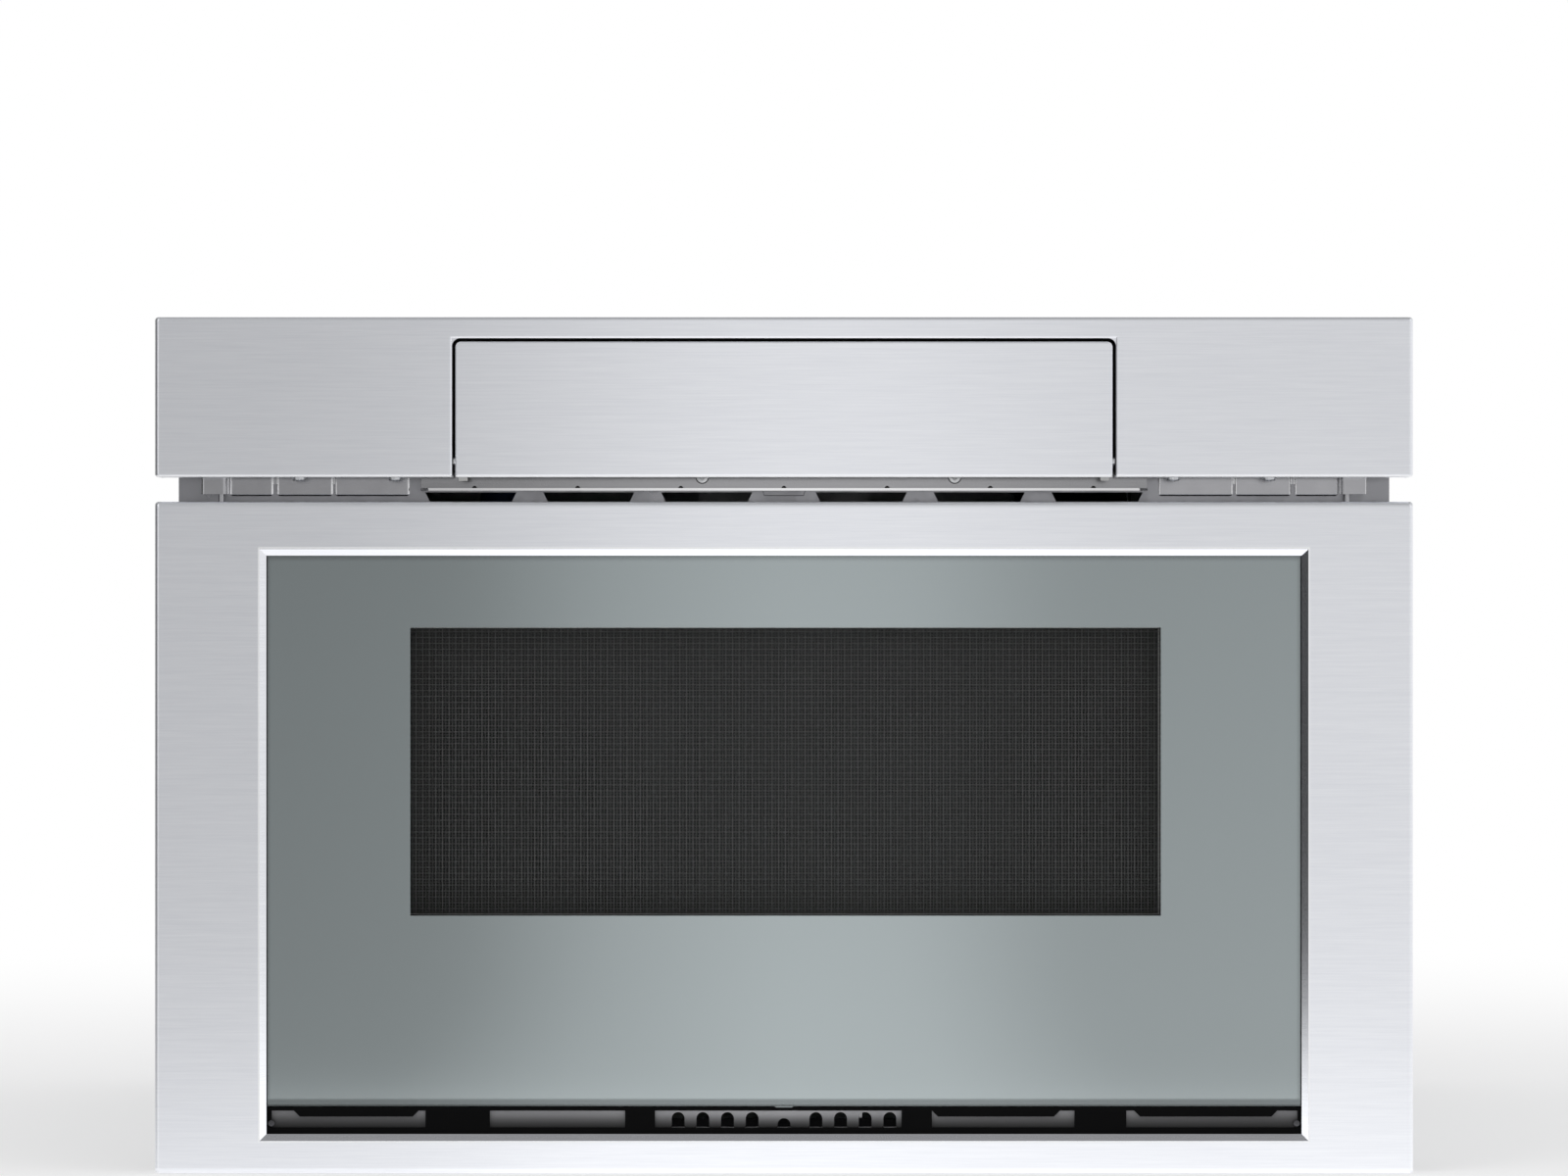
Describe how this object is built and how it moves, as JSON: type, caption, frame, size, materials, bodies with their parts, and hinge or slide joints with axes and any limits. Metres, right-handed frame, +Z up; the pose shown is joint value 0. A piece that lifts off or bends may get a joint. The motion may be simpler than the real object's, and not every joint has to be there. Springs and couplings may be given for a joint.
{
  "type": "built-in microwave drawer",
  "caption": "Built-in microwave whose motor-driven drawer slides out under a stainless fascia with a tilt-out control panel.",
  "frame": {"origin": "on the cabinet shelf, in the middle of the width, at the cabinet's front face, which is the rear face of the mounting flange", "axes": "+X to the right as seen from the room, +Y into the cabinet, +Z up"},
  "size_m": [0.6064, 0.594, 0.4128],
  "materials": {
    "front_steel": "fine horizontal brushing",
    "case_sheet": "plain galvanised sheet",
    "cavity_steel": "fine satin",
    "deflector_sheet": "satin",
    "door_glass": "reflective tinted",
    "clear_glass": "clear",
    "panel_glass": "black gloss",
    "glass_ceramic": "smooth",
    "black_plastic": "moulded",
    "white_plastic": "moulded",
    "switch_body": "moulded",
    "mica": "pressed sheet",
    "bright_steel": "zinc plated",
    "frame_steel": "zinc plated",
    "motor_metal": "plated",
    "aluminium_sheet": "mill finish",
    "core_steel": "varnished laminations",
    "copper": "enamelled wire",
    "circuit_board": "solder resist",
    "screen_steel": "black enamel"
  },
  "bodies": {
    "chassis": {"base_plate": "case_sheet", "bulkhead": "case_sheet", "cable_gland": "black_plastic", "capacitor": "motor_metal", "cavity_shell": "cavity_steel", "control_pocket": "case_sheet", "drive_motor": "motor_metal", "fan_motor": "motor_metal", "fan_shroud": "black_plastic", "fascia_brackets": "case_sheet", "fascia_panel": "front_steel", "filter_board": "circuit_board", "flap_damper": "white_plastic", "front_screws": "bright_steel", "interlock_switches": "switch_body", "lamp_bulb": "clear_glass", "lamp_holder": "black_plastic", "locating_blocks": "case_sheet", "magnetron": "motor_metal", "mounting_flange": "case_sheet", "power_board": "circuit_board", "rail_brackets": "case_sheet", "rail_outers": "bright_steel", "rear_panel": "case_sheet", "side_panel_left": "case_sheet", "side_panel_right": "case_sheet", "stirrer_cover": "mica", "stirrer_motor": "motor_metal", "switch_holders": "white_plastic", "top_cover": "case_sheet", "transformer_coils": "copper", "transformer_core": "core_steel", "vent_visor": "case_sheet", "waveguide": "case_sheet"},
    "drawer": {"door_frame": "front_steel", "door_glass": "door_glass", "louvre_strip": "black_plastic", "air_deflector": "deflector_sheet", "mesh_screen": "screen_steel", "inner_door": "cavity_steel", "choke_cover": "black_plastic", "door_back_cover": "case_sheet", "inner_pane": "clear_glass", "drawer_tray": "cavity_steel", "floor_plate": "glass_ceramic", "drawer_underframe": "frame_steel", "rail_inners": "bright_steel", "drive_rack": "frame_steel", "latch_hooks": "white_plastic"},
    "slide_middles": {"rail_middles": "bright_steel"},
    "pinion": {"drive_pinion": "frame_steel"},
    "panel": {"flap_skin": "front_steel", "flap_wedge": "black_plastic", "control_glass": "panel_glass", "control_board": "circuit_board", "hinge_pins": "bright_steel", "flap_gear": "white_plastic"},
    "damper": {"damper_pinion": "white_plastic"},
    "fan": {"fan_rotor": "black_plastic"},
    "stirrer": {"mode_stirrer": "aluminium_sheet"}
  },
  "joints": [
    {"name": "drawer_slide", "type": "slide", "parent": "chassis", "child": "drawer", "axis": [0, -1, 0], "range_m": [0, 0.38]},
    {"name": "middle_slide", "type": "slide", "parent": "chassis", "child": "slide_middles", "axis": [0, -1, 0], "range_m": [0, 0.19]},
    {"name": "pinion_spin", "type": "hinge", "parent": "chassis", "child": "pinion", "pos_m": [0.03, 0.022, 0.042], "axis": [1, 0, 0], "range_deg": [0, 1815]},
    {"name": "panel_tilt", "type": "hinge", "parent": "chassis", "child": "panel", "pos_m": [0, -0.018, 0.3326], "axis": [1, 0, 0], "range_deg": [0, 90]},
    {"name": "damper_spin", "type": "hinge", "parent": "chassis", "child": "damper", "pos_m": [-0.1653, -0.0089, 0.3326], "axis": [1, 0, 0], "range_deg": [-144.1, 0]},
    {"name": "fan_spin", "type": "hinge", "parent": "chassis", "child": "fan", "pos_m": [0.15, 0.464, 0.3195], "axis": [0, 1, 0], "continuous": true},
    {"name": "stirrer_spin", "type": "hinge", "parent": "chassis", "child": "stirrer", "pos_m": [0, 0.22, 0.2736], "axis": [0, 0, 1], "continuous": true}
  ],
  "couplings": [
    {"joint": "middle_slide", "follows": "drawer_slide", "ratio": 0.5},
    {"joint": "pinion_spin", "follows": "drawer_slide", "rad_per_m": 83.333},
    {"joint": "damper_spin", "follows": "panel_tilt", "ratio": -1.6}
  ]
}
